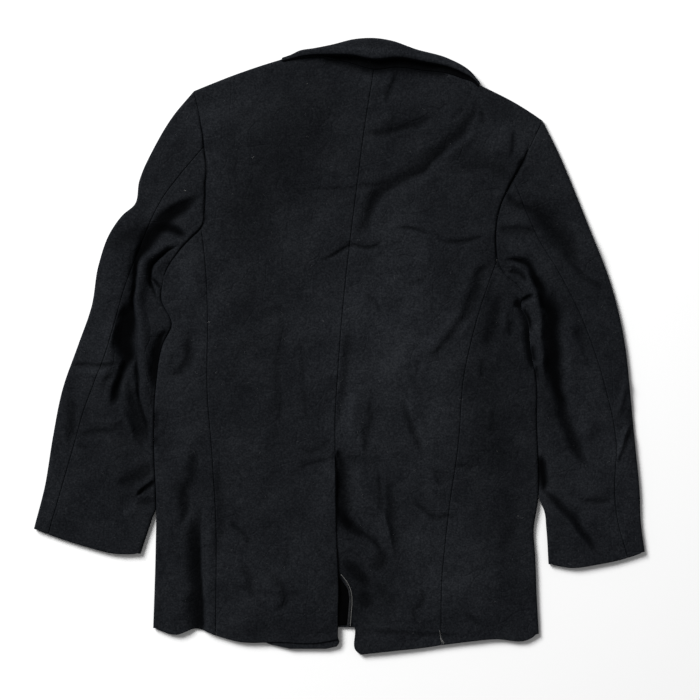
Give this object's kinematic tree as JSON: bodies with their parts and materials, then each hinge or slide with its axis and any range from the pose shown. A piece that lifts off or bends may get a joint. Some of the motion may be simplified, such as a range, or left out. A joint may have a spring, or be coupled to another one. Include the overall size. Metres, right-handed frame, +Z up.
{
  "type": "pea coat",
  "caption": "Hip-length wool pea coat laid flat face down, sleeves spread at its sides, collar rolled at the neck, back seamed in panels with a centre vent.",
  "frame": {"origin": "on the surface the coat lies on, under the middle of its outline", "axes": "+X towards the side with the coat's right sleeve as it is seen lying on its front, +Y towards the collar, +Z up, out of the back of the coat"},
  "size_m": [0.8246, 0.8322, 0.025],
  "materials": {
    "wool": "matt napped melton wool, near black with a blue cast",
    "lining": "smooth dark satin lining",
    "button": "satin black"
  },
  "bodies": {
    "root": {"back_left": "wool", "back_right": "wool", "side_left": "wool", "side_right": "wool", "upper_sleeve_left": "wool", "upper_sleeve_right": "wool", "under_sleeve_left": "wool", "under_sleeve_right": "wool", "front_left": "wool", "front_right": "wool", "collar": "wool", "hem_drop_left": "wool", "vent_lining": "lining", "button_1": "button", "button_2": "button", "button_3": "button", "button_4": "button", "button_5": "button", "button_6": "button"}
  },
  "joints": []
}
